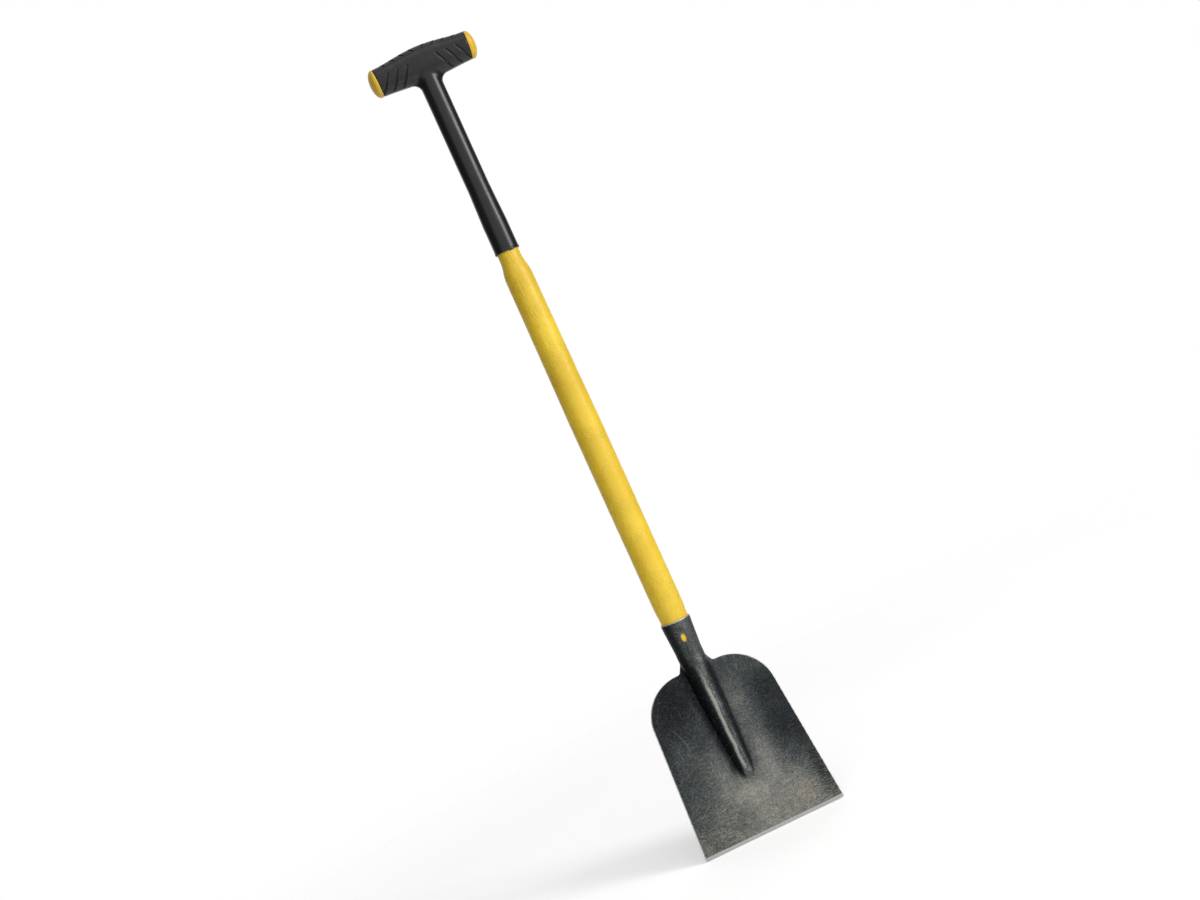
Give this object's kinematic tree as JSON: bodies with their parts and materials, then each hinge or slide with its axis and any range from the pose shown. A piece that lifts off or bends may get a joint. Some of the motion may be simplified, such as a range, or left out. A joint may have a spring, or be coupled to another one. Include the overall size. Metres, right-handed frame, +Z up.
{
  "type": "roofing shovel",
  "caption": "Short roofing shovel: pressed steel blade with a central ridge and rolled socket, necked plastic-jacketed shaft and a rubber T-grip with domed end caps.",
  "frame": {"origin": "centre of the cutting edge's end face, at the lower end of the blade", "axes": "+Z up along the shaft to the T-grip, -Y the side the load face looks to, X across the blade along the T-bar"},
  "size_m": [0.1837, 0.1041, 1.0502],
  "materials": {
    "blade_steel": "dark blued and scratched pressed steel, worn lighter towards the edge",
    "screw_steel": "dull zinc-plated steel",
    "fibreglass": "bare pultruded fibreglass",
    "yellow_jacket": "satin yellow plastic skin with a fine orange-peel texture",
    "grip_nylon": "moulded black glass-filled nylon",
    "grip_rubber": "satin black moulded rubber",
    "yellow_cap": "satin moulded yellow plastic"
  },
  "bodies": {
    "root": {"blade_head": "blade_steel", "socket_screw": "screw_steel", "shaft_core": "fibreglass", "shaft_jacket": "yellow_jacket", "grip_core": "grip_nylon", "grip_cover": "grip_rubber", "left_end_cap": "yellow_cap", "right_end_cap": "yellow_cap"}
  },
  "joints": []
}
